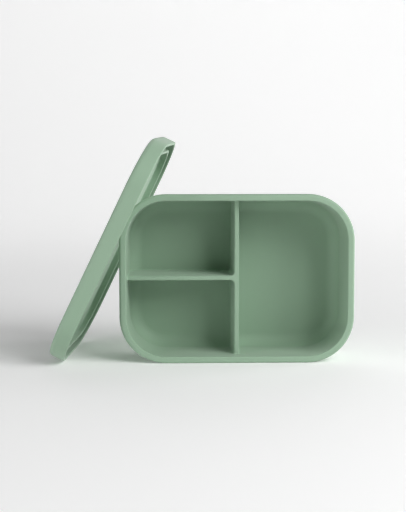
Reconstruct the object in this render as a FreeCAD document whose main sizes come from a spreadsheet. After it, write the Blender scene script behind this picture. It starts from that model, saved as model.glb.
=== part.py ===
import FreeCAD, Part
import math
import os
import Sketcher

# A divided silicone lunch box and its press-on lid.  The box stands on one long side with its opening
# towards -Y, and the lid stands on one short end beside it and leans on the box's upper left corner.
# +X runs along the box's long side, +Z is up, and the origin is at the bottom centre of the pair.

doc = FreeCAD.newDocument("divided_lunch_box")

# ---------------------------------------------------------------- driving dimensions, millimetres
SIZES = (
    # the box in its own frame: base on z = 0, opening upwards, long side along x
    ("box_long", 186.0), ("box_wide", 134.0), ("box_deep", 50.0), ("box_corner", 37.0),
    ("rim_thick", 5.3), ("floor_thick", 3.5),
    ("outer_draft", 2.0), ("inner_draft", 2.8),
    ("floor_round", 10.0), ("base_round", 5.0), ("rim_round", 2.0), ("rim_inner_round", 0.7),
    ("foot_inset", 9.0), ("foot_relief", 1.2),
    # the dividers, whose ends are buried in the walls
    ("divider_drop", 9.0), ("divider_thick", 3.4), ("divider_draft", 2.0), ("divider_bury", 3.7),
    ("divider_joint_round", 1.2), ("divider_top_round", 0.8),
    # the lid in its own frame: outer face on z = 0, open side upwards
    ("lid_grow", 3.0), ("lid_tall", 13.3), ("skirt_thick", 2.6), ("channel_wide", 5.9),
    ("ridge_thick", 2.5), ("ridge_drop", 2.1), ("roof_thick", 2.6), ("panel_inside", 6.0),
    ("panel_thick", 2.6), ("lid_round", 3.0), ("lip_round", 0.7), ("panel_round", 1.6),
    # how the lid stands beside the box, angles in degrees
    ("lid_lean", 64.2), ("lid_turn", 5.4), ("lid_foot_left", 134.2), ("lid_middle_back", 44.5),
)
sheet = doc.addObject("Spreadsheet::Sheet", "sizes")
for row, (alias, value) in enumerate(SIZES, start=1):
    sheet.set("A%d" % row, alias)
    sheet.set("B%d" % row, str(value))
    sheet.setAlias("B%d" % row, alias)
doc.recompute()


def size(alias):
    return float(sheet.get(alias))


# ---------------------------------------------------------------- helpers for bodies and sketches
def origin_plane(body, role):
    for feature in body.Origin.OriginFeatures:
        if feature.Role == role:
            return feature


def new_sketch(body, name, height):
    """A sketch parallel to the body's own XY plane, at a height given as an expression."""
    sketch = body.newObject("Sketcher::SketchObject", name)
    sketch.AttachmentSupport = [(origin_plane(body, "XY_Plane"), "")]
    sketch.MapMode = "FlatFace"
    sketch.setExpression("AttachmentOffset.Base.z", height)
    return sketch


def bind(sketch, label, constraint, formula):
    """Add a constraint and tie its value to the sheet."""
    index = sketch.addConstraint(constraint)
    sketch.renameConstraint(index, label)
    sketch.setExpression("Constraints." + label, formula)


def vector(x, y):
    return FreeCAD.Vector(x, y, 0)


def rounded_outline(sketch, length, width, radius):
    """A rectangle with four equal round corners, centred on the sketch's origin."""
    half_long = sketch.evalExpression(length) / 2
    half_wide = sketch.evalExpression(width) / 2
    corner = sketch.evalExpression(radius)
    arc_x = half_long - corner
    arc_y = half_wide - corner
    normal = FreeCAD.Vector(0, 0, 1)

    def quarter(x, y, start):
        circle = Part.Circle(vector(x, y), normal, corner)
        return Part.ArcOfCircle(circle, math.radians(start), math.radians(start + 90))

    first = sketch.GeometryCount
    sketch.addGeometry([
        Part.LineSegment(vector(-arc_x, -half_wide), vector(arc_x, -half_wide)),
        quarter(arc_x, -arc_y, 270),
        Part.LineSegment(vector(half_long, -arc_y), vector(half_long, arc_y)),
        quarter(arc_x, arc_y, 0),
        Part.LineSegment(vector(arc_x, half_wide), vector(-arc_x, half_wide)),
        quarter(-arc_x, arc_y, 90),
        Part.LineSegment(vector(-half_long, arc_y), vector(-half_long, -arc_y)),
        quarter(-arc_x, -arc_y, 180),
    ], False)
    bottom, right, top, left = first, first + 2, first + 4, first + 6
    for step in range(8):
        here = first + step
        there = first + (step + 1) % 8
        sketch.addConstraint(Sketcher.Constraint("Tangent", here, 2, there, 1))
    for line in (bottom, top):
        sketch.addConstraint(Sketcher.Constraint("Horizontal", line))
    for line in (left, right):
        sketch.addConstraint(Sketcher.Constraint("Vertical", line))
    for other in (first + 3, first + 5, first + 7):
        sketch.addConstraint(Sketcher.Constraint("Equal", first + 1, other))
    sketch.addConstraint(Sketcher.Constraint("Symmetric", bottom, 1, top, 1, -1, 1))
    across = Sketcher.Constraint("DistanceX", left, 1, right, 1, 2 * half_long)
    along = Sketcher.Constraint("DistanceY", bottom, 1, top, 2, 2 * half_wide)
    bind(sketch, "length_%d" % first, across, length)
    bind(sketch, "width_%d" % first, along, width)
    bind(sketch, "radius_%d" % first, Sketcher.Constraint("Radius", first + 1, corner), radius)


def plain_outline(sketch, x_low, x_high, half_wide):
    """A rectangle from x_low to x_high, as wide on both sides of the x axis."""
    low = sketch.evalExpression(x_low)
    high = sketch.evalExpression(x_high)
    half = sketch.evalExpression(half_wide)
    corners = (vector(low, -half), vector(high, -half), vector(high, half), vector(low, half))
    for step in range(4):
        sketch.addGeometry(Part.LineSegment(corners[step], corners[(step + 1) % 4]), False)
    for step in range(4):
        sketch.addConstraint(Sketcher.Constraint("Coincident", step, 2, (step + 1) % 4, 1))
    for line in (0, 2):
        sketch.addConstraint(Sketcher.Constraint("Horizontal", line))
    for line in (1, 3):
        sketch.addConstraint(Sketcher.Constraint("Vertical", line))
    bind(sketch, "low_x", Sketcher.Constraint("DistanceX", -1, 1, 0, 1, low), x_low)
    bind(sketch, "high_x", Sketcher.Constraint("DistanceX", -1, 1, 1, 1, high), x_high)
    bind(sketch, "low_y", Sketcher.Constraint("DistanceY", -1, 1, 0, 1, -half), "-(%s)" % half_wide)
    bind(sketch, "high_y", Sketcher.Constraint("DistanceY", -1, 1, 2, 1, half), half_wide)


def drafted_pad(body, name, sketch, height, draft):
    """Grow up from a sketch; a positive draft in degrees makes it wider as it rises."""
    feature = body.newObject("PartDesign::Pad", name)
    feature.Profile = sketch
    feature.Type = "Length"
    feature.setExpression("Length", height)
    feature.setExpression("TaperAngle", draft)
    doc.recompute()
    return feature


def pocket(body, name, sketch, depth, upwards=False, draft="0"):
    """Cut down from a sketch, or up from it, and make sure that material went away."""
    before = body.Shape.Volume
    feature = body.newObject("PartDesign::Pocket", name)
    feature.Profile = sketch
    feature.Type = "Length"
    feature.Reversed = upwards
    feature.setExpression("Length", depth)
    feature.setExpression("TaperAngle", draft)
    doc.recompute()
    if body.Shape.Volume > before - 1.0:
        raise RuntimeError(name + " cut nothing")
    return feature


def edges_where(body, wanted):
    """Names of the body's edges whose bounding box passes a test."""
    names = []
    for number, edge in enumerate(body.Shape.Edges, start=1):
        if wanted(edge.BoundBox):
            names.append("Edge%d" % number)
    return names


def round_edges(body, name, wanted, radius):
    tip = body.Tip
    names = edges_where(body, wanted)
    feature = body.newObject("PartDesign::Fillet", name)
    feature.Base = (tip, names)
    feature.setExpression("Radius", radius)
    doc.recompute()
    if not names or not feature.isValid() or not feature.Shape.isValid():
        raise RuntimeError("%s failed on %d edges" % (name, len(names)))
    return feature


NEAR = 0.05


def level(height):
    """A test for edges that lie in the plane z = height."""
    return lambda box: abs(box.ZMin - height) < NEAR and abs(box.ZMax - height) < NEAR


# ---------------------------------------------------------------- divided_box: one silicone moulding
box = doc.addObject("PartDesign::Body", "divided_box")
box.Label = "divided_box"

# Outer form: a rounded rectangle that widens from the base to the rim.
base_outline = new_sketch(box, "base_outline", "0 * sizes.box_deep")
outer_lean = "sizes.box_deep * tan(sizes.outer_draft)"
rounded_outline(base_outline, "sizes.box_long - 2 * " + outer_lean,
                "sizes.box_wide - 2 * " + outer_lean, "sizes.box_corner - " + outer_lean)
drafted_pad(box, "outer_form", base_outline, "sizes.box_deep", "sizes.outer_draft")
round_edges(box, "base_edge", level(0.0), "sizes.base_round")

# The hollow, with its large soft radius between walls and floor.
mouth_outline = new_sketch(box, "mouth_outline", "sizes.box_deep")
rounded_outline(mouth_outline, "sizes.box_long - 2 * sizes.rim_thick",
                "sizes.box_wide - 2 * sizes.rim_thick", "sizes.box_corner - sizes.rim_thick")
pocket(box, "hollow", mouth_outline, "sizes.box_deep - sizes.floor_thick", draft="-sizes.inner_draft")
round_edges(box, "floor_edge", level(size("floor_thick")), "sizes.floor_round")

# Dividers: one across the middle, one from it to the left end wall.  Both are thicker at the floor,
# and stand lower than the rim so that the lid's ridge passes over them.
root_height = "0.8 * sizes.floor_thick"
divider_height = "(sizes.box_deep - sizes.divider_drop - %s)" % root_height
half_root = "(sizes.divider_thick / 2 + %s * tan(sizes.divider_draft))" % divider_height


def buried_reach(whole):
    """Distance from the middle to a divider's end, inside the wall, at the divider's root."""
    slope = "(sizes.box_deep - %s) * tan(sizes.inner_draft)" % root_height
    return "(%s / 2 - sizes.rim_thick - %s + sizes.divider_bury)" % (whole, slope)


across = new_sketch(box, "cross_divider_root", root_height)
plain_outline(across, "-" + half_root, half_root, buried_reach("sizes.box_wide"))
drafted_pad(box, "cross_divider", across, divider_height, "-sizes.divider_draft")
leftward = new_sketch(box, "left_divider_root", root_height)
plain_outline(leftward, "-" + buried_reach("sizes.box_long"), half_root, half_root)
drafted_pad(box, "left_divider", leftward, divider_height, "-sizes.divider_draft")

divider_top = size("box_deep") - size("divider_drop")
half_foot = size("divider_thick") / 2 + divider_top * math.tan(math.radians(size("divider_draft")))


def divider_joint(edge):
    """A test for edges where a divider meets the floor, a wall or the other divider."""
    thin_x = max(abs(edge.XMin), abs(edge.XMax)) < half_foot
    thin_y = max(abs(edge.YMin), abs(edge.YMax)) < half_foot
    slim = edge.XMax - edge.XMin < half_foot or edge.YMax - edge.YMin < half_foot
    above_base = edge.ZMin > 0.9 * size("floor_thick")
    return (thin_x or thin_y) and slim and above_base and edge.ZMin < divider_top - 1.0


round_edges(box, "divider_joints", divider_joint, "sizes.divider_joint_round")
round_edges(box, "divider_tops", level(divider_top), "sizes.divider_top_round")


def rim_edge(outer):
    """A test for the rim's outer or inner edge loop, told apart by how far out they lie."""
    def wanted(edge):
        if not level(size("box_deep"))(edge):
            return False
        far_x = max(abs(edge.XMin), abs(edge.XMax)) - size("box_long") / 2
        far_y = max(abs(edge.YMin), abs(edge.YMax)) - size("box_wide") / 2
        return (max(far_x, far_y) > -0.5 * size("rim_thick")) == outer
    return wanted


round_edges(box, "rim_outside", rim_edge(True), "sizes.rim_round")
round_edges(box, "rim_inside", rim_edge(False), "sizes.rim_inner_round")

# Underside: a low foot runs round the edge of a shallow recess.
foot_recess = new_sketch(box, "foot_recess_outline", "0 * sizes.box_deep")
inset = "(%s + sizes.foot_inset)" % outer_lean
rounded_outline(foot_recess, "sizes.box_long - 2 * " + inset, "sizes.box_wide - 2 * " + inset,
                "sizes.box_corner - " + inset)
pocket(box, "foot_recess", foot_recess, "sizes.foot_relief", upwards=True)

# ---------------------------------------------------------------- lid: one silicone moulding
# A skirt goes round the outside of the box, a ridge just inside it presses into the box's mouth, and
# the panel inside the ridge is sunk from both faces.
lid = doc.addObject("PartDesign::Body", "lid")
lid.Label = "lid"


def lid_outline(name, height, inset):
    """An outline of the lid drawn a distance inside its outer edge."""
    sketch = new_sketch(lid, name, height)
    grow = "(sizes.lid_grow - %s)" % inset
    rounded_outline(sketch, "sizes.box_long + 2 * " + grow, "sizes.box_wide + 2 * " + grow,
                    "sizes.box_corner + " + grow)
    return sketch


def lid_ring(name, height, outer_inset, inner_inset):
    """Two lid outlines in one sketch, for a ring."""
    sketch = lid_outline(name, height, outer_inset)
    grow = "(sizes.lid_grow - %s)" % inner_inset
    rounded_outline(sketch, "sizes.box_long + 2 * " + grow, "sizes.box_wide + 2 * " + grow,
                    "sizes.box_corner + " + grow)
    return sketch


ridge_outside = "(sizes.skirt_thick + sizes.channel_wide)"
ridge_inside = "(%s + sizes.ridge_thick)" % ridge_outside
ridge_level = "(sizes.lid_tall - sizes.ridge_drop)"
outer_edge = lid_outline("lid_outer_outline", "0 * sizes.lid_tall", "0 * sizes.skirt_thick")
drafted_pad(lid, "lid_block", outer_edge, "sizes.lid_tall", "0")
round_edges(lid, "lid_outer_round", level(0.0), "sizes.lid_round")
mouth = lid_outline("skirt_inside_outline", "sizes.lid_tall", "sizes.skirt_thick")
pocket(lid, "lid_mouth", mouth, "sizes.ridge_drop")
channel = lid_ring("channel_outline", ridge_level, "sizes.skirt_thick", ridge_outside)
pocket(lid, "channel", channel, "%s - sizes.roof_thick" % ridge_level)
middle = lid_outline("panel_outline", ridge_level, ridge_inside)
pocket(lid, "panel_recess", middle, "%s - sizes.panel_inside" % ridge_level)
sunk = lid_outline("outer_recess_outline", "0 * sizes.lid_tall", ridge_inside)
pocket(lid, "outer_recess", sunk, "sizes.panel_inside - sizes.panel_thick", upwards=True)


def lid_loop(height, inset):
    """A test for the edges of one closed loop, given its height and its inset in millimetres."""
    reach_x = size("box_long") / 2 + size("lid_grow") - inset
    reach_y = size("box_wide") / 2 + size("lid_grow") - inset

    def wanted(edge):
        if not level(height)(edge):
            return False
        miss_x = abs(max(abs(edge.XMin), abs(edge.XMax)) - reach_x)
        miss_y = abs(max(abs(edge.YMin), abs(edge.YMax)) - reach_y)
        return min(miss_x, miss_y) < 0.4
    return wanted


tall = size("lid_tall")
ridge_top = tall - size("ridge_drop")
skirt_inset = size("skirt_thick")
ridge_out_inset = skirt_inset + size("channel_wide")
ridge_in_inset = ridge_out_inset + size("ridge_thick")
sunk_level = size("panel_inside") - size("panel_thick")
round_edges(lid, "lip_outside", lid_loop(tall, 0.0), "sizes.lip_round")
round_edges(lid, "lip_inside", lid_loop(tall, skirt_inset), "sizes.lip_round")
round_edges(lid, "ridge_outside_edge", lid_loop(ridge_top, ridge_out_inset), "sizes.lip_round")
round_edges(lid, "ridge_inside_edge", lid_loop(ridge_top, ridge_in_inset), "sizes.lip_round")
round_edges(lid, "channel_outer_corner", lid_loop(size("roof_thick"), skirt_inset), "sizes.lip_round")
round_edges(lid, "channel_inner_corner", lid_loop(size("roof_thick"), ridge_out_inset), "sizes.lip_round")
round_edges(lid, "panel_inside_corner", lid_loop(size("panel_inside"), ridge_in_inset), "sizes.panel_round")
round_edges(lid, "panel_outside_corner", lid_loop(sunk_level, ridge_in_inset), "sizes.panel_round")
round_edges(lid, "outer_recess_edge", lid_loop(0.0, ridge_in_inset), "sizes.panel_round")

# ---------------------------------------------------------------- how the two stand together
# The box lies on its long wall, tipped back by that wall's own draft so that the wall is flat down.
box_turn = FreeCAD.Rotation(0, 0, 90 - size("outer_draft"))
rim_middle = box_turn.multVec(FreeCAD.Vector(0, 0, size("box_deep")))
wall_low = box_turn.multVec(FreeCAD.Vector(0, -size("box_wide") / 2, size("box_deep"))).z
box_spot = FreeCAD.Vector(0, -rim_middle.y, -wall_low)

# The lid stands on the free edge of its left end and leans inwards onto the box's upper left corner.
lid_turn = FreeCAD.Rotation(-size("lid_turn"), -size("lid_lean"), 180)
foot = lid_turn.multVec(FreeCAD.Vector(-size("box_long") / 2 - size("lid_grow"), 0, size("lid_tall")))
lid_spot = FreeCAD.Vector(-size("lid_foot_left") - foot.x, size("lid_middle_back") - foot.y, -foot.z)
box.Placement = FreeCAD.Placement(box_spot, box_turn)
lid.Placement = FreeCAD.Placement(lid_spot, lid_turn)
doc.recompute()

# Drop the lid onto its rounded lip, then put the origin at the bottom centre of the pair.
lid_spot.z -= lid.Shape.optimalBoundingBox().ZMin
lid.Placement = FreeCAD.Placement(lid_spot, lid_turn)
doc.recompute()
pair = Part.Compound([box.Shape, lid.Shape]).optimalBoundingBox()
centre = FreeCAD.Vector(pair.Center.x, pair.Center.y, pair.ZMin)
box.Placement = FreeCAD.Placement(box_spot - centre, box_turn)
lid.Placement = FreeCAD.Placement(lid_spot - centre, lid_turn)
doc.recompute()

# ---------------------------------------------------------------- checks, then one STEP per sub-part
for part_object in doc.Objects:
    if "Invalid" in part_object.State or "Error" in part_object.State:
        raise RuntimeError("%s is in state %s" % (part_object.Name, part_object.State))
for body in (box, lid):
    if body.Shape.isNull() or not body.Shape.isValid() or len(body.Shape.Solids) != 1:
        raise RuntimeError("%s is not one valid solid" % body.Label)
gap = box.Shape.distToShape(lid.Shape)[0]
if not 0.1 < gap < 0.6:
    raise RuntimeError("the lid stands %.2f mm from the box" % gap)
os.makedirs("parts", exist_ok=True)
for body in (box, lid):
    body.Shape.exportStep("parts/%s.step" % body.Label)
    extent = body.Shape.optimalBoundingBox()
    print(body.Label, "volume", round(body.Shape.Volume), extent, "shift", centre)
print("gap", round(gap, 3))
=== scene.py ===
import math

import bpy
import bmesh
from mathutils import Matrix, Vector


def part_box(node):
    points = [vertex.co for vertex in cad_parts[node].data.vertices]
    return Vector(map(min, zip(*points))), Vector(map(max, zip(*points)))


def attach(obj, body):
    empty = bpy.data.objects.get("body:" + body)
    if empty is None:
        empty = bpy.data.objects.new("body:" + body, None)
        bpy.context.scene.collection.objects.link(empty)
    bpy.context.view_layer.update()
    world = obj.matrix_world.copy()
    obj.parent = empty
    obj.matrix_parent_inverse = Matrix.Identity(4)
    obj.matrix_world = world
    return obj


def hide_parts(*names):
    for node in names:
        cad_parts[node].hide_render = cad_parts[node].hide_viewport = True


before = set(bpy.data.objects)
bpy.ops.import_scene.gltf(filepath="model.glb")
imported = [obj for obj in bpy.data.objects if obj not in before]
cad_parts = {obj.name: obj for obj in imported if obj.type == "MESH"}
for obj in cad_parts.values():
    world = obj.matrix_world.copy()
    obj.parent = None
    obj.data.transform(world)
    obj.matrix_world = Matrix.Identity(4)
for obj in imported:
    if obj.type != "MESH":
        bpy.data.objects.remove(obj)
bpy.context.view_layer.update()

# ---------------------------------------------------------------------------
# The divided box: one thick moulding of soft silicone, open at the top, with a
# wall across the middle and a second one that halves the left side.  Every size
# here is in millimetres, in the moulding's own frame with its base on z = 0.
# ---------------------------------------------------------------------------
MM = 0.001
BOX_HALF_LONG = 93.0
BOX_HALF_WIDE = 67.0
BOX_CORNER = 37.0
BOX_DEEP = 50.0
RIM_THICK = 5.3
RIM_ROUND = 2.0
RIM_INNER_ROUND = 0.7
OUTER_DRAFT = math.tan(math.radians(2.0))
INNER_DRAFT = math.tan(math.radians(2.8))
FLOOR_TOP = 3.5
FLOOR_ROUND = 10.0
BASE_ROUND = 5.0
# The halves of the mould meet in a fine raised line: heights, and how far it stands proud.
PARTING_LINE = ((45.0, 0.0), (44.8, 0.08), (44.5, 0.11), (44.2, 0.08), (44.0, 0.0))
# The low foot's inner edge: steps across from its inset, and heights.
FOOT_INSET = 10.75
FOOT_EDGE = ((-0.5, 0.0), (-0.15, 0.1), (0.0, 0.4), (0.0, 0.8), (0.15, 1.1), (0.5, 1.2))

DIVIDER_TOP = 41.0
DIVIDER_HALF = 1.7
DIVIDER_DRAFT = math.tan(math.radians(2.0))
DIVIDER_TOP_ROUND = 0.8
DIVIDER_FOOT_ROUND = 1.2
WALL_JOINT = 1.3
CROSSING_JOINT = 3.2

# How finely the mesh is divided: steps round each arc, along each straight run, and
# the heights of the rings between the rounded parts.
CORNER_STEPS = 18
LONG_STEPS = 12
SIDE_STEPS = 10
JOINT_STEPS = 5
ROUND_STEPS = 8
LIP_STEPS = 4
MOUTH_RINGS = (45.0, 48.4)
OUTSIDE_RINGS = (32.0, 19.0, 8.0)
INSIDE_RINGS = (36.0, 30.0, 23.0, 17.0)
FILL_RINGS = (0.8, 0.55, 0.3, 0.1)
STATION = DIVIDER_HALF - DIVIDER_TOP_ROUND + WALL_JOINT


def arc_steps(start, end, count):
    """Angles in radians, evenly spaced from start to end in degrees."""
    return [math.radians(start + (end - start) * step / count) for step in range(count + 1)]


def arc(across, up, radius, start, end, count):
    """Points round an arc about a centre, in a plan or in a section."""
    return [
        (across + radius * math.cos(angle), up + radius * math.sin(angle))
        for angle in arc_steps(start, end, count)
    ]


def along(start, end, count):
    """Evenly spaced points on a straight line, both ends included."""
    return [
        (start[0] + (end[0] - start[0]) * step / count, start[1] + (end[1] - start[1]) * step / count)
        for step in range(count + 1)
    ]


def chain(*runs):
    """Runs of points joined end to end, without their shared ends."""
    joined = []
    for run in runs:
        for point in run:
            if not joined or math.dist(joined[-1], point) > 1e-7:
                joined.append(point)
    return joined


def inner_inset(z):
    """How far the inside wall lies within the rim's outer edge at a height, floor round included."""
    inset = RIM_THICK + (BOX_DEEP - z) * INNER_DRAFT
    depth = FLOOR_TOP + FLOOR_ROUND - z
    if depth > 0.0:
        inset += FLOOR_ROUND - math.sqrt(max(FLOOR_ROUND**2 - depth**2, 0.0))
    return inset


def divider_half(z):
    """Half a divider's thickness at a height, with the small round at its foot."""
    half = DIVIDER_HALF + (DIVIDER_TOP - z) * DIVIDER_DRAFT
    depth = FLOOR_TOP + DIVIDER_FOOT_ROUND - z
    if depth > 0.0:
        half += DIVIDER_FOOT_ROUND - math.sqrt(max(DIVIDER_FOOT_ROUND**2 - depth**2, 0.0))
    return half


def quarter_wall(inset, sign_x, sign_y, station):
    """The wall from a divider's end on the long side, round a corner, to the middle of the short side."""
    half_long = BOX_HALF_LONG - inset
    half_wide = BOX_HALF_WIDE - inset
    radius = BOX_CORNER - inset
    straight = along((station, half_wide), (half_long - radius, half_wide), LONG_STEPS)
    corner = arc(half_long - radius, half_wide - radius, radius, 90.0, 0.0, CORNER_STEPS)
    side = along((half_long, half_wide - radius), (half_long, station), SIDE_STEPS)
    return [(sign_x * x, sign_y * y) for x, y in chain(straight, corner, side)]


def whole_outline(inset):
    """The box's rounded outline at an inset, with the same points in every ring."""
    upper_left = quarter_wall(inset, -1, 1, STATION)
    lower_left = quarter_wall(inset, -1, -1, STATION)
    upper_right = quarter_wall(inset, 1, 1, STATION)
    lower_right = quarter_wall(inset, 1, -1, STATION)
    half_long = BOX_HALF_LONG - inset
    half_wide = BOX_HALF_WIDE - inset
    ring = upper_left + [(-half_long, 0.0)] + lower_left[::-1] + [(0.0, -half_wide)]
    ring += lower_right + [(half_long, 0.0)] + upper_right[::-1] + [(0.0, half_wide)]
    return ring


class Moulding:
    """Collects rings of points and skins them into one closed mesh."""

    def __init__(self):
        self.mesh = bmesh.new()

    def ring(self, points, heights):
        """Add one ring; heights is a number or one number for each point."""
        if isinstance(heights, (int, float)):
            heights = [heights] * len(points)
        return [
            self.mesh.verts.new((x * MM, y * MM, z * MM)) for (x, y), z in zip(points, heights)
        ]

    def skin(self, first, second, closed=True):
        """A band of four-sided faces between two rings or rows."""
        count = len(first)
        for here in range(count if closed else count - 1):
            there = (here + 1) % count
            self.mesh.faces.new((first[here], first[there], second[there], second[here]))

    def skin_all(self, rings):
        """A band between each ring and the next."""
        for first, second in zip(rings, rings[1:]):
            self.skin(first, second)

    def fill(self, ring):
        """Close a ring with smaller and smaller copies of itself about its middle."""
        middle = sum((vert.co for vert in ring), Vector()) / len(ring)
        rings = [ring]
        for shrink in FILL_RINGS:
            rings.append([self.mesh.verts.new(middle + (vert.co - middle) * shrink) for vert in ring])
        self.skin_all(rings)
        hub = self.mesh.verts.new(middle)
        last = rings[-1]
        for here, vert in enumerate(last):
            self.mesh.faces.new((vert, last[(here + 1) % len(last)], hub))

    def finish(self, name):
        """Weld the bands, turn every face outwards and give back the object."""
        bmesh.ops.remove_doubles(self.mesh, verts=self.mesh.verts, dist=0.002 * MM)
        bmesh.ops.recalc_face_normals(self.mesh, faces=self.mesh.faces)
        for face in self.mesh.faces:
            face.smooth = True
        data = bpy.data.meshes.new(name)
        self.mesh.to_mesh(data)
        self.mesh.free()
        piece = bpy.data.objects.new(name, data)
        bpy.context.collection.objects.link(piece)
        flats = piece.modifiers.new("flat faces stay flat", "WEIGHTED_NORMAL")
        flats.weight = 80
        return piece


# Rim, outside and underside, as a section of inset and height from the mouth round to the foot.
rim_inner_middle = inner_inset(BOX_DEEP - RIM_INNER_ROUND) - RIM_INNER_ROUND
rim_outer_middle = RIM_ROUND * OUTER_DRAFT + RIM_ROUND
base_middle = (BOX_DEEP - BASE_ROUND) * OUTER_DRAFT + BASE_ROUND
box_section = [(inner_inset(z), z) for z in (DIVIDER_TOP + WALL_JOINT,) + MOUTH_RINGS]
box_section += arc(rim_inner_middle, BOX_DEEP - RIM_INNER_ROUND, RIM_INNER_ROUND, 0.0, 90.0, LIP_STEPS)
box_section += arc(rim_outer_middle, BOX_DEEP - RIM_ROUND, RIM_ROUND, 90.0, 178.0, ROUND_STEPS)
box_section += [((BOX_DEEP - z) * OUTER_DRAFT - proud, z) for z, proud in PARTING_LINE]
box_section += [((BOX_DEEP - z) * OUTER_DRAFT, z) for z in OUTSIDE_RINGS]
box_section += arc(base_middle, BASE_ROUND, BASE_ROUND, 182.0, 270.0, ROUND_STEPS)
box_section += [(FOOT_INSET + aside, z) for aside, z in FOOT_EDGE]

box_moulding = Moulding()
rings = [box_moulding.ring(whole_outline(inset), z) for inset, z in box_section]
box_moulding.skin_all(rings)
box_moulding.fill(rings[-1])

# Levels of a compartment, from the rounded tops of the dividers to the floor:
# height at the divider, height at the wall, half the divider's thickness.
shoulder = DIVIDER_TOP - DIVIDER_TOP_ROUND
foot_top = FLOOR_TOP + DIVIDER_FOOT_ROUND
# The very top keeps its exact thickness, so that it meets the flat top of the divider.
top_level = (DIVIDER_TOP, DIVIDER_TOP + WALL_JOINT, DIVIDER_HALF - DIVIDER_TOP_ROUND)
compartment_levels = [top_level]
for angle in arc_steps(90.0, 0.0, LIP_STEPS)[1:]:
    compartment_levels.append((
        shoulder + DIVIDER_TOP_ROUND * math.sin(angle),
        shoulder + (DIVIDER_TOP_ROUND + WALL_JOINT) * math.sin(angle),
        divider_half(shoulder) - DIVIDER_TOP_ROUND * (1.0 - math.cos(angle)),
    ))
below = list(INSIDE_RINGS)
below += [FLOOR_TOP + FLOOR_ROUND * (1.0 - math.sin(angle)) for angle in arc_steps(0.0, 60.0, 6)]
below += [foot_top - DIVIDER_FOOT_ROUND * math.sin(angle) for angle in arc_steps(15.0, 90.0, 5)]
compartment_levels += [(z, z, divider_half(z)) for z in below]


def divider_end(wall, half, sign_x, sign_y, across):
    """The inside corner from a wall to a divider's end; across is true for the divider across the box."""
    if across:
        run = arc(half + WALL_JOINT, wall - WALL_JOINT, WALL_JOINT, 90.0, 180.0, JOINT_STEPS)
    else:
        run = arc(wall - WALL_JOINT, half + WALL_JOINT, WALL_JOINT, 0.0, -90.0, JOINT_STEPS)
    return [(sign_x * x, sign_y * y) for x, y in run]


def joint_rise(distance):
    """How far up the wall a divider's top curves at a distance from the wall, from 0 to 1."""
    gap = max(WALL_JOINT - distance, 0.0)
    return 1.0 - math.sqrt(max(1.0 - (gap / WALL_JOINT) ** 2, 0.0))


def half_side(half, wall, sign_x, sign_y):
    """A divider's long face from its end near the wall to the crossing."""
    return along((sign_x * half, sign_y * (wall - WALL_JOINT)),
                 (sign_x * half, sign_y * (half + CROSSING_JOINT)), SIDE_STEPS)


def left_compartment(level, sign_y):
    """One ring of a left compartment, as its wall and its runs along the two dividers."""
    _, z_wall, half = level
    inset = inner_inset(z_wall)
    wall_x = BOX_HALF_LONG - inset
    wall_y = BOX_HALF_WIDE - inset
    wall = quarter_wall(inset, -1, sign_y, half + WALL_JOINT)
    left_end = divider_end(wall_x, half, -1, sign_y, across=False)
    reach = half + CROSSING_JOINT
    left_side = along((-(wall_x - WALL_JOINT), sign_y * half), (-reach, sign_y * half), LONG_STEPS)
    crossing = [(-x, sign_y * y) for x, y in
                arc(reach, reach, CROSSING_JOINT, 270.0, 180.0, JOINT_STEPS + 1)]
    middle_side = half_side(half, wall_y, -1, sign_y)[::-1]
    middle_end = divider_end(wall_y, half, -1, sign_y, across=True)[::-1]
    return wall, chain(left_end, left_side, crossing), chain(middle_side, middle_end)


def right_compartment(level):
    """One ring of the right compartment, as its wall and the divider's lower and upper runs."""
    _, z_wall, half = level
    inset = inner_inset(z_wall)
    wall_y = BOX_HALF_WIDE - inset
    upper = quarter_wall(inset, 1, 1, half + WALL_JOINT)
    lower = quarter_wall(inset, 1, -1, half + WALL_JOINT)
    wall = upper + [(BOX_HALF_LONG - inset, 0.0)] + lower[::-1]
    lower_run = chain(divider_end(wall_y, half, 1, -1, across=True), half_side(half, wall_y, 1, -1))
    upper_run = chain(divider_end(wall_y, half, 1, 1, across=True), half_side(half, wall_y, 1, 1))
    return wall, lower_run, upper_run


def heights(points, level):
    """The height of each point of a ring: the divider's, curving up to the wall's near the wall."""
    z_divider, z_wall, _ = level
    inset = inner_inset(z_wall)
    corner = BOX_CORNER - inset
    result = []
    for x, y in points:
        over_x = abs(x) - (BOX_HALF_LONG - inset - corner)
        over_y = abs(y) - (BOX_HALF_WIDE - inset - corner)
        if over_x > 0.0 and over_y > 0.0:
            distance = corner - math.hypot(over_x, over_y)
        else:
            distance = corner - max(over_x, over_y)
        result.append(z_divider + (z_wall - z_divider) * joint_rise(max(distance, 0.0)))
    return result


def compartment(rings):
    """Skin a compartment's rings from top to floor and close its floor."""
    made = [box_moulding.ring(points, heights(points, level)) for points, level in rings]
    box_moulding.skin_all(made)
    box_moulding.fill(made[-1])


for sign_y in (1, -1):
    rings = []
    for level in compartment_levels:
        points = chain(*left_compartment(level, sign_y))
        rings.append((points[:-1], level))
    compartment(rings)

rings = []
for level in compartment_levels:
    wall, lower_run, upper_run = right_compartment(level)
    points = chain(wall, lower_run, [(level[2], 0.0)], upper_run[::-1])
    rings.append((points[:-1], level))
compartment(rings)


def top_strip(first, second):
    """Skin the flat top of a divider between two runs of points, with a row between them."""
    middle = [((a[0] + b[0]) / 2, (a[1] + b[1]) / 2) for a, b in zip(first, second)]
    rows = [box_moulding.ring(run, heights(run, top_level)) for run in (first, middle, second)]
    for outer, inner in zip(rows, rows[1:]):
        box_moulding.skin(outer, inner, closed=False)


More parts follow.
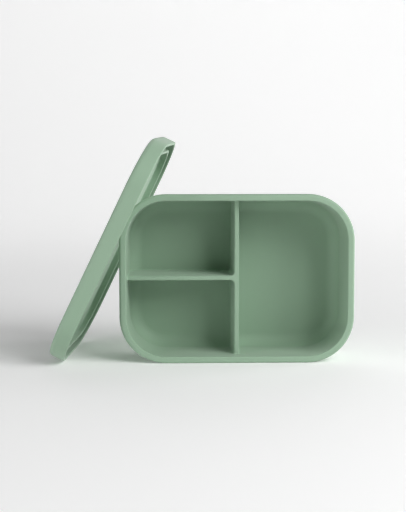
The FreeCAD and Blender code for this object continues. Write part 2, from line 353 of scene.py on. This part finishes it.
_, upper_left_side, upper_middle_side = left_compartment(top_level, 1)
_, lower_left_side, lower_middle_side = left_compartment(top_level, -1)
_, right_lower_side, right_upper_side = right_compartment(top_level)
top_strip(upper_left_side, lower_left_side)
top_strip(upper_middle_side[::-1], right_upper_side)
top_strip(lower_middle_side[::-1], right_lower_side)
half_top = top_level[2]
crossing_y = half_top + CROSSING_JOINT
top_strip([(-half_top, crossing_y), (-half_top, 0.0), (-half_top, -crossing_y)],
          [(half_top, crossing_y), (half_top, 0.0), (half_top, -crossing_y)])

divided_box = box_moulding.finish("lunch_box")


class Wire:
    """One output of a material's nodes, usable in Python sums."""

    def __init__(self, tree, socket=None):
        self.tree = tree
        self.socket = socket

    def node(self, kind, settings=None, inputs=None, output=0):
        """Add a node: its settings first, then the values or wires of its sockets."""
        made = self.tree.nodes.new(kind)
        for name, value in (settings or {}).items():
            setattr(made, name, value)
        for name, value in (inputs or {}).items():
            if isinstance(value, Wire):
                value.into(made.inputs[name])
            else:
                made.inputs[name].default_value = value
        return Wire(self.tree, made.outputs[output])

    def into(self, socket):
        """Feed a socket of a node that is already there."""
        self.tree.links.new(self.socket, socket)

    def maths(self, operation, other):
        return self.node("ShaderNodeMath", {"operation": operation}, {0: self, 1: other})

    def __add__(self, other):
        return self.maths("ADD", other)

    def __mul__(self, other):
        return self.maths("MULTIPLY", other)

    __radd__ = __add__
    __rmul__ = __mul__

    def blend(self, low, high):
        """A colour between two others, by this mask."""
        return self.node("ShaderNodeMix", {"data_type": "RGBA"}, {0: self, 6: low, 7: high}, 2)


# Sage silicone: dyed through, matt from the fine blasting of the mould, with a faint bloom
# of dust.  The grain is under a millimetre, the dust a few millimetres, the cloud centimetres.
SAGE = (0.272, 0.405, 0.286, 1.0)
SAGE_PALE = (0.298, 0.428, 0.311, 1.0)
GRAIN_SCALE = 1400.0
DUST_SCALE = 190.0
CLOUD_SCALE = 22.0
BLASTED_DEPTH = 0.0002
BLASTED_STRENGTH = 0.12


def silicone(name):
    """Matt dyed silicone with a blasted grain, faint clouding and a soft sheen."""
    material = bpy.data.materials.new(name)
    material.use_nodes = True
    shader = material.node_tree.nodes["Principled BSDF"].inputs
    start = Wire(material.node_tree)
    place = start.node("ShaderNodeTexCoord", output="Object")
    cloud, grain, dust = (
        start.node("ShaderNodeTexNoise", None,
                   {"Vector": place, "Scale": scale, "Detail": detail, "Roughness": harshness})
        for scale, detail, harshness in
        ((CLOUD_SCALE, 3.0, 0.5), (GRAIN_SCALE, 2.0, 0.6), (DUST_SCALE, 5.0, 0.7))
    )
    (cloud * 0.6 + dust * 0.4).blend(SAGE, SAGE_PALE).into(shader["Base Color"])
    (grain * 0.1 + dust * 0.08 + 0.5).into(shader["Roughness"])
    skin = start.node("ShaderNodeBump", None, {
        "Height": grain * 0.7 + dust * 0.3,
        "Strength": BLASTED_STRENGTH,
        "Distance": BLASTED_DEPTH,
    })
    skin.into(shader["Normal"])
    shader["Specular IOR Level"].default_value = 0.35
    shader["Sheen Weight"].default_value = 0.2
    shader["Sheen Roughness"].default_value = 0.5
    return material


sage_silicone = silicone("sage_silicone")
divided_box.data.materials.append(sage_silicone)


def set_down(piece, node, turn):
    """Turn a moulding as it stands and put it exactly where its frame node is."""
    piece.data.transform(turn.to_4x4())
    low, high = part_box(node)
    corners = [vert.co for vert in piece.data.vertices]
    own_low = Vector([min(co[axis] for co in corners) for axis in range(3)])
    own_high = Vector([max(co[axis] for co in corners) for axis in range(3)])
    piece.data.transform(Matrix.Translation((Vector(low) + Vector(high) - own_low - own_high) / 2))


# The box stands on its long wall, tipped back by that wall's own draft.
BOX_TIP = math.radians(88.0)
set_down(divided_box, "divided_box", Matrix.Rotation(BOX_TIP, 3, "X"))
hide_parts("divided_box")
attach(divided_box, "box")

# ---------------------------------------------------------------------------
# The press-on lid: a second silicone moulding of the same mix.  Its skirt goes
# over the box's rim, its ridge presses inside the mouth, and the panel between
# is sunk from both faces.  It stands on the free edge of one short end.
# ---------------------------------------------------------------------------
LID_GROW = 3.0
LID_TALL = 13.3
SKIRT = 2.6
ROOF = 2.6
RIDGE_OUT = 8.5
RIDGE_IN = 11.0
RIDGE_TOP = 11.2
PANEL_IN = 6.0
PANEL_OUT = 3.4
PANEL_EDGE = 1.6
PANEL_EDGE_STEPS = 6
LIP = 0.7
LID_EDGE = 3.0
# A fine step where the mould for the rounded edge meets the mould for the skirt.
LID_STEP = 0.12
SKIRT_RINGS = ((0.0, 8.0), (0.0, LID_EDGE + 0.35), (0.04, LID_EDGE + 0.15))
ROOF_RING = (7.0, 0.0)

lid_section = arc(RIDGE_IN + PANEL_EDGE, PANEL_IN + PANEL_EDGE, PANEL_EDGE, 270.0, 180.0, PANEL_EDGE_STEPS)
for across, up, start, end in (
    (RIDGE_IN - LIP, RIDGE_TOP - LIP, 0.0, 90.0),
    (RIDGE_OUT + LIP, RIDGE_TOP - LIP, 90.0, 180.0),
    (RIDGE_OUT - LIP, ROOF + LIP, 0.0, -90.0),
    (SKIRT + LIP, ROOF + LIP, 270.0, 180.0),
    (SKIRT - LIP, LID_TALL - LIP, 0.0, 90.0),
    (LIP, LID_TALL - LIP, 90.0, 180.0),
):
    lid_section += arc(across, up, LIP, start, end, LIP_STEPS)
lid_section += SKIRT_RINGS
lid_section += arc(LID_EDGE + LID_STEP, LID_EDGE, LID_EDGE, 180.0, 270.0, ROUND_STEPS)
lid_section += [ROOF_RING]
lid_section += arc(RIDGE_IN - PANEL_EDGE, PANEL_EDGE, PANEL_EDGE, 270.0, 360.0, PANEL_EDGE_STEPS)
lid_section += arc(RIDGE_IN + PANEL_EDGE, PANEL_OUT - PANEL_EDGE, PANEL_EDGE, 180.0, 90.0, PANEL_EDGE_STEPS)

lid_moulding = Moulding()
lid_rings = [lid_moulding.ring(whole_outline(inset - LID_GROW), z) for inset, z in lid_section]
lid_moulding.skin_all(lid_rings)
lid_moulding.fill(lid_rings[0])
lid_moulding.fill(lid_rings[-1])
lid = lid_moulding.finish("lunch_box_lid")
lid.data.materials.append(sage_silicone)

# Open side down, leaned onto the box's corner and turned a little about the upright.
LEAN = math.radians(64.2)
TURN = math.radians(5.4)
lean = Matrix.Rotation(-LEAN, 3, "Y") @ Matrix.Rotation(math.pi, 3, "X")
set_down(lid, "lid", Matrix.Rotation(-TURN, 3, "Z") @ lean)
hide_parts("lid")
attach(lid, "lid")

# ---------------------------------------------------------------------------
# Table and backdrop: one pale paper sheet that lies flat under the pair and
# curves up behind it.  Sizes from here on are in metres.
# ---------------------------------------------------------------------------
SHEET_HALF_WIDE = 1.2
SHEET_FRONT = -1.2
SHEET_BEND = 0.9
SHEET_BEND_RADIUS = 0.7
SHEET_TOP = 2.6
sheet_section = [(SHEET_FRONT, 0.0), (-0.4, 0.0), (SHEET_BEND, 0.0)]
sheet_section += arc(SHEET_BEND, SHEET_BEND_RADIUS, SHEET_BEND_RADIUS, -80.0, 0.0, 12)
sheet_section += [(SHEET_BEND + SHEET_BEND_RADIUS, SHEET_TOP)]

sheet = bmesh.new()
rows = [
    [sheet.verts.new((x, distance, rise)) for x in (-SHEET_HALF_WIDE, 0.0, SHEET_HALF_WIDE)]
    for distance, rise in sheet_section
]
for front, back in zip(rows, rows[1:]):
    for column in range(2):
        face = sheet.faces.new((front[column], front[column + 1], back[column + 1], back[column]))
        face.smooth = True
sheet_data = bpy.data.meshes.new("table_sweep")
sheet.to_mesh(sheet_data)
sheet.free()
table = bpy.data.objects.new("table_sweep", sheet_data)
bpy.context.collection.objects.link(table)

# The paper glows a little with painted light, and no lamp is behind it: the glow grows more and more behind
# the pair and also lights the pair.
GLOW_NEAR = (0.08, 0.08, 0.08, 1.0)
GLOW_FAR = (0.32, 0.32, 0.32, 1.0)
paper = bpy.data.materials.new("pale_paper")
paper.use_nodes = True
paper_shader = paper.node_tree.nodes["Principled BSDF"].inputs
paper_shader["Base Color"].default_value = (0.95, 0.95, 0.95, 1.0)
paper_shader["Roughness"].default_value = 0.9
paper_shader["Specular IOR Level"].default_value = 0.1
start = Wire(paper.node_tree)
place = start.node("ShaderNodeTexCoord", output="Object")
depth = start.node("ShaderNodeSeparateXYZ", None, {"Vector": place}, "Y")
glow = start.node("ShaderNodeMapRange", {"interpolation_type": "SMOOTHSTEP"},
                  {"Value": depth, "From Min": 0.05, "From Max": 1.1, "To Min": 0.0, "To Max": 1.0})
# Painted glow: emission from near to far stands in for light on the backdrop.
glow.blend(GLOW_NEAR, GLOW_FAR).into(paper_shader["Emission Color"])
paper_shader["Emission Strength"].default_value = 1.0
table.data.materials.append(paper)

# ---------------------------------------------------------------------------
# Studio light: a large soft panel high on the right, two weaker ones low down
# at the sides, and pale surroundings that add very little light themselves.
# ---------------------------------------------------------------------------
MIDDLE = Vector((0.02, -0.03, 0.075))


def soft_panel(name, spot, width, height, watts):
    """A rectangular soft light at a spot, turned to face the middle of the pair."""
    lamp = bpy.data.lights.new(name, "AREA")
    lamp.shape = "RECTANGLE"
    lamp.size = width
    lamp.size_y = height
    lamp.energy = watts
    light = bpy.data.objects.new(name, lamp)
    light.location = spot
    light.rotation_mode = "QUATERNION"
    light.rotation_quaternion = (MIDDLE - Vector(spot)).to_track_quat("-Z", "Y")
    bpy.context.collection.objects.link(light)


soft_panel("key_panel", (0.973, -0.829, 0.914), 1.1, 0.9, 21.0)
soft_panel("side_panel", (1.461, 0.356, 0.31), 0.6, 0.6, 10.0)
soft_panel("low_left_panel", (-1.332, -0.66, 0.31), 0.9, 0.6, 9.0)

WHITE = (1.0, 1.0, 1.0, 1.0)
ROOM_LIGHT = 0.07
ROOM_SEEN = 0.95
world = bpy.data.worlds.new("studio")
bpy.context.scene.world = world
world.use_nodes = True
world.node_tree.nodes.clear()
room = Wire(world.node_tree)
seen = room.node("ShaderNodeLightPath", output="Is Camera Ray")
dim = room.node("ShaderNodeBackground", None, {"Color": WHITE, "Strength": ROOM_LIGHT})
pale = room.node("ShaderNodeBackground", None, {"Color": WHITE, "Strength": ROOM_SEEN})
either = room.node("ShaderNodeMixShader", None, {0: seen, 1: dim, 2: pale})
either.into(world.node_tree.nodes.new("ShaderNodeOutputWorld").inputs["Surface"])
bpy.context.scene.view_settings.view_transform = "Standard"

# ---------------------------------------------------------------------------
# Camera: a long lens in front of the box's mouth, a little to the left of its
# middle and above it, looking slightly down.
# ---------------------------------------------------------------------------
CAMERA_LEFT = 0.0525
CAMERA_AWAY = 0.9285
CAMERA_UP = 0.198
CAMERA_DIP = 6.89
CAMERA_PAN = 1.57
camera_data = bpy.data.cameras.new("camera")
camera_data.lens = 84.0
camera_data.sensor_width = 36.0
camera = bpy.data.objects.new("camera", camera_data)
box_low, box_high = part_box("divided_box")
camera.location = ((box_low[0] + box_high[0]) / 2 - CAMERA_LEFT, box_low[1] - CAMERA_AWAY, CAMERA_UP)
camera.rotation_euler = (math.radians(90.0 - CAMERA_DIP), 0.0, math.radians(-CAMERA_PAN))
bpy.context.collection.objects.link(camera)
bpy.context.scene.camera = camera
